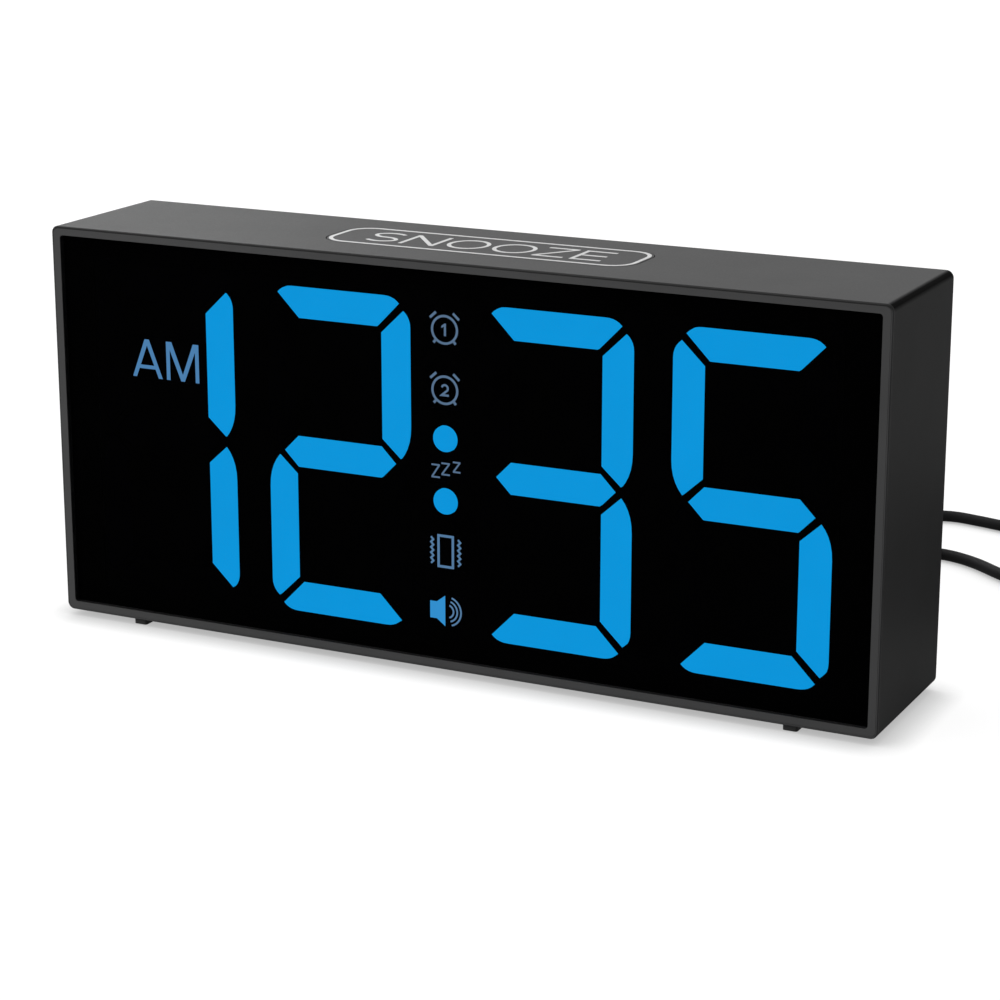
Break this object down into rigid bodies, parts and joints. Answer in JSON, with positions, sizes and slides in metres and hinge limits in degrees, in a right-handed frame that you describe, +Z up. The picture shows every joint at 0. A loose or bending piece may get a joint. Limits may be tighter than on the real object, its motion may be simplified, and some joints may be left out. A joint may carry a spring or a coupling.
{
  "type": "vibrating alarm clock",
  "caption": "Bedside alarm clock with a wide lit digit display behind a smoked lens, a snooze bar on top, rear controls, a power lead and a plug-in bed shaker that vibrates.",
  "frame": {"origin": "on the resting plane under the feet, below the middle of the case", "axes": "+Z up, the display faces -Y, +X to the right as the display is seen"},
  "size_m": [0.2987, 0.1727, 0.095],
  "materials": {
    "case_plastic": "fine-textured black moulding",
    "edge_plastic": "smooth black bead",
    "button_plastic": "satin black moulding",
    "dark_plastic": "black moulding",
    "smoked_lens": "smoked acrylic",
    "lit_blue": "lit diffuser",
    "circuit_board": "green solder mask",
    "chip_resin": "pale resin",
    "chip_black": "moulded resin",
    "ribbon_grey": "flat cable",
    "steel": "plated",
    "magnet": "sintered",
    "speaker_paper": "pressed paper",
    "brass": "plain",
    "rubber": "matte",
    "cord_rubber": "smooth jacket",
    "tie_fabric": "woven strap",
    "white_plastic": "plain"
  },
  "bodies": {
    "root": {"front_frame": "case_plastic", "edge_bead": "edge_plastic", "case_sleeve": "case_plastic", "rear_cover": "case_plastic", "feet": "rubber", "case_screws": "steel", "display_lens": "smoked_lens", "led_reflector": "dark_plastic", "lit_segments": "lit_blue", "dark_segments": "dark_plastic", "colon_dots": "lit_blue", "indicator_windows": "dark_plastic", "display_board": "circuit_board", "led_chips": "chip_resin", "board_chips": "chip_black", "ribbon_cable": "ribbon_grey", "board_screws": "steel", "snooze_board": "circuit_board", "snooze_switches": "chip_black", "control_board": "circuit_board", "key_switches": "chip_black", "slide_switches": "steel", "power_jack": "dark_plastic", "shaker_jack": "dark_plastic", "speaker_frame": "steel", "speaker_magnet": "magnet", "speaker_cone": "speaker_paper", "coin_cell": "steel", "cell_contact": "brass", "power_plug": "cord_rubber", "power_plug_barrel": "steel", "power_cord": "cord_rubber", "power_cord_coil": "cord_rubber", "power_cord_tie": "tie_fabric", "usb_plug_body": "cord_rubber", "usb_shell": "steel", "usb_tongue": "white_plastic", "shaker_plug": "cord_rubber", "shaker_plug_shaft": "steel", "shaker_cord": "cord_rubber", "shaker_cord_coil": "cord_rubber", "shaker_cord_tie": "tie_fabric", "shaker_base": "case_plastic", "shaker_cover": "case_plastic", "shaker_pad": "rubber", "shaker_strain_relief": "cord_rubber", "shaker_motor": "steel", "motor_clamp": "steel", "shaker_screws": "steel"},
    "snooze": {"snooze_key": "case_plastic"},
    "time_key": {"time_button": "button_plastic"},
    "alarm_one_key": {"alarm_one_button": "button_plastic"},
    "alarm_two_key": {"alarm_two_button": "button_plastic"},
    "up_key": {"up_button": "button_plastic"},
    "down_key": {"down_button": "button_plastic"},
    "mode": {"mode_slider": "button_plastic"},
    "dimmer": {"dimmer_slider": "button_plastic"},
    "cell_door": {"battery_door": "case_plastic"},
    "rotor": {"motor_shaft": "steel", "eccentric_weight": "brass"}
  },
  "joints": [
    {"name": "snooze_press", "type": "slide", "parent": "root", "child": "snooze", "axis": [0, 0, -1], "range_m": [0, 0.0008], "stiffness_N_per_m": 1500, "springref_m": -0.0004},
    {"name": "time_press", "type": "slide", "parent": "root", "child": "time_key", "axis": [0, -1, 0], "range_m": [0, 0.0008], "stiffness_N_per_m": 1000, "springref_m": -0.0003},
    {"name": "alarm_one_press", "type": "slide", "parent": "root", "child": "alarm_one_key", "axis": [0, -1, 0], "range_m": [0, 0.0008], "stiffness_N_per_m": 1000, "springref_m": -0.0003},
    {"name": "alarm_two_press", "type": "slide", "parent": "root", "child": "alarm_two_key", "axis": [0, -1, 0], "range_m": [0, 0.0008], "stiffness_N_per_m": 1000, "springref_m": -0.0003},
    {"name": "up_press", "type": "slide", "parent": "root", "child": "up_key", "axis": [0, -1, 0], "range_m": [0, 0.0008], "stiffness_N_per_m": 1000, "springref_m": -0.0003},
    {"name": "down_press", "type": "slide", "parent": "root", "child": "down_key", "axis": [0, -1, 0], "range_m": [0, 0.0008], "stiffness_N_per_m": 1000, "springref_m": -0.0003},
    {"name": "mode_slide", "type": "slide", "parent": "root", "child": "mode", "axis": [1, 0, 0], "range_m": [-0.0025, 0.0025]},
    {"name": "dimmer_slide", "type": "slide", "parent": "root", "child": "dimmer", "axis": [1, 0, 0], "range_m": [0, 0.003]},
    {"name": "cell_door_turn", "type": "hinge", "parent": "root", "child": "cell_door", "pos_m": [-0.014, 0.016, 0.034], "axis": [0, 1, 0], "range_deg": [0, 60]},
    {"name": "motor_spin", "type": "hinge", "parent": "root", "child": "rotor", "pos_m": [0.15671, 0.024, 0.0115], "axis": [1, 0, 0], "continuous": true}
  ]
}
